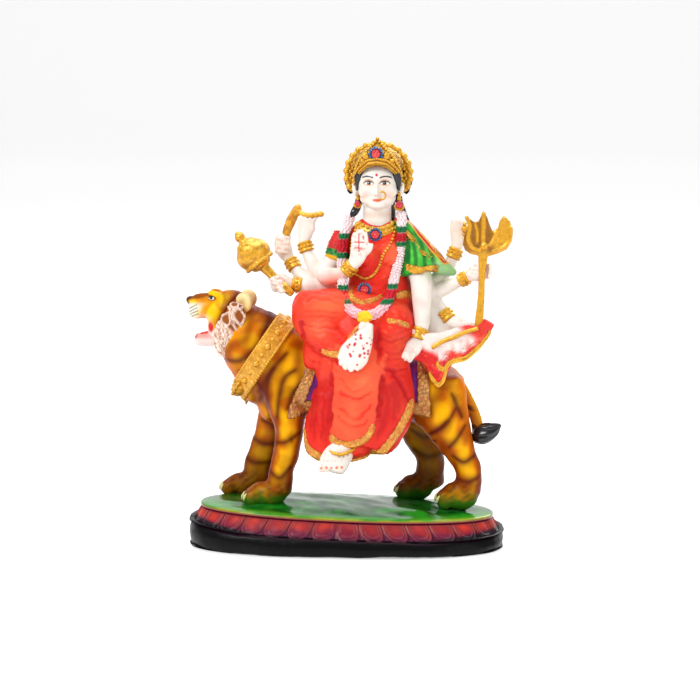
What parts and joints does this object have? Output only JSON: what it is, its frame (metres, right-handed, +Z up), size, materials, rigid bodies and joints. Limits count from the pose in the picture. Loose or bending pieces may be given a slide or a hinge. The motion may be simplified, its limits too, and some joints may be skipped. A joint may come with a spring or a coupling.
{
  "type": "goddess on tiger figurine",
  "caption": "Painted cast figurine: a crowned goddess with many arms sits sideways on a striding tiger, on an oval lotus-petal plinth.",
  "frame": {"origin": "centre of the plinth's flat underside", "axes": "+Z up through the figure, +X to the tiger's rump, -Y to the front that the goddess faces"},
  "size_m": [0.1812, 0.0916, 0.2261],
  "materials": {
    "coral_cloth": "satin painted resin",
    "pale_skin": "satin painted resin, warm white",
    "tiger_coat": "lacquered paint, amber with dark stripes",
    "gold_paint": "metallic gold paint",
    "plinth_paint": "gloss paint: green ground, coral petals, black foot",
    "flower_garland": "matte painted resin, white-pink with red and green bands"
  },
  "bodies": {
    "root": {"goddess_on_tiger_casting": "coral_cloth"}
  },
  "joints": []
}
